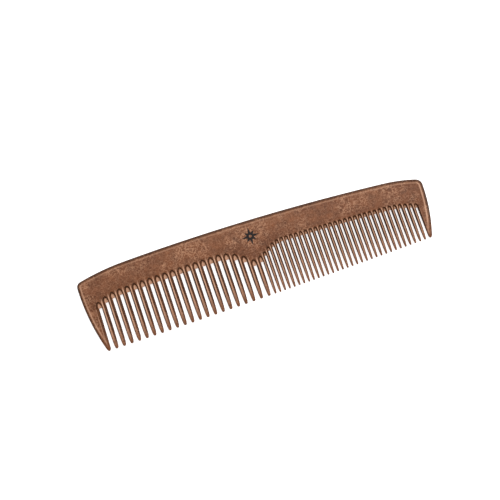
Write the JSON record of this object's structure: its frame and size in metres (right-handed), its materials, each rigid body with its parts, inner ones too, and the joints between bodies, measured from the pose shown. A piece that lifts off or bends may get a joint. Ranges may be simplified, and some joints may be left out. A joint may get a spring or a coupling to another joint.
{
  "type": "pocket beard comb",
  "caption": "Flat pocket comb for a beard, with a coarse and a fine section of teeth between two solid end teeth.",
  "frame": {"origin": "centre of the comb's box in X and Y, on the lower face it lies on", "axes": "+X along the comb from the coarse end to the fine end, +Y from the tips to the back, +Z out of the printed face"},
  "size_m": [0.13, 0.0296, 0.004],
  "materials": {
    "wood_composite": "satin, moulded wood-fibre composite with fine pale flecks",
    "ink": "matt pad-printed ink film"
  },
  "bodies": {
    "root": {"back": "wood_composite", "coarse_end_tooth": "wood_composite", "fine_end_tooth": "wood_composite", "coarse_tooth_01": "wood_composite", "coarse_tooth_02": "wood_composite", "coarse_tooth_03": "wood_composite", "coarse_tooth_04": "wood_composite", "coarse_tooth_05": "wood_composite", "coarse_tooth_06": "wood_composite", "coarse_tooth_07": "wood_composite", "coarse_tooth_08": "wood_composite", "coarse_tooth_09": "wood_composite", "coarse_tooth_10": "wood_composite", "coarse_tooth_11": "wood_composite", "coarse_tooth_12": "wood_composite", "coarse_tooth_13": "wood_composite", "coarse_tooth_14": "wood_composite", "coarse_tooth_15": "wood_composite", "coarse_tooth_16": "wood_composite", "coarse_tooth_17": "wood_composite", "coarse_tooth_18": "wood_composite", "coarse_tooth_19": "wood_composite", "coarse_tooth_20": "wood_composite", "coarse_tooth_21": "wood_composite", "fine_tooth_01": "wood_composite", "fine_tooth_02": "wood_composite", "fine_tooth_03": "wood_composite", "fine_tooth_04": "wood_composite", "fine_tooth_05": "wood_composite", "fine_tooth_06": "wood_composite", "fine_tooth_07": "wood_composite", "fine_tooth_08": "wood_composite", "fine_tooth_09": "wood_composite", "fine_tooth_10": "wood_composite", "fine_tooth_11": "wood_composite", "fine_tooth_12": "wood_composite", "fine_tooth_13": "wood_composite", "fine_tooth_14": "wood_composite", "fine_tooth_15": "wood_composite", "fine_tooth_16": "wood_composite", "fine_tooth_17": "wood_composite", "fine_tooth_18": "wood_composite", "fine_tooth_19": "wood_composite", "fine_tooth_20": "wood_composite", "fine_tooth_21": "wood_composite", "fine_tooth_22": "wood_composite", "fine_tooth_23": "wood_composite", "fine_tooth_24": "wood_composite", "fine_tooth_25": "wood_composite", "fine_tooth_26": "wood_composite", "fine_tooth_27": "wood_composite", "fine_tooth_28": "wood_composite", "fine_tooth_29": "wood_composite", "fine_tooth_30": "wood_composite", "fine_tooth_31": "wood_composite", "fine_tooth_32": "wood_composite", "printed_emblem": "ink"}
  },
  "joints": []
}
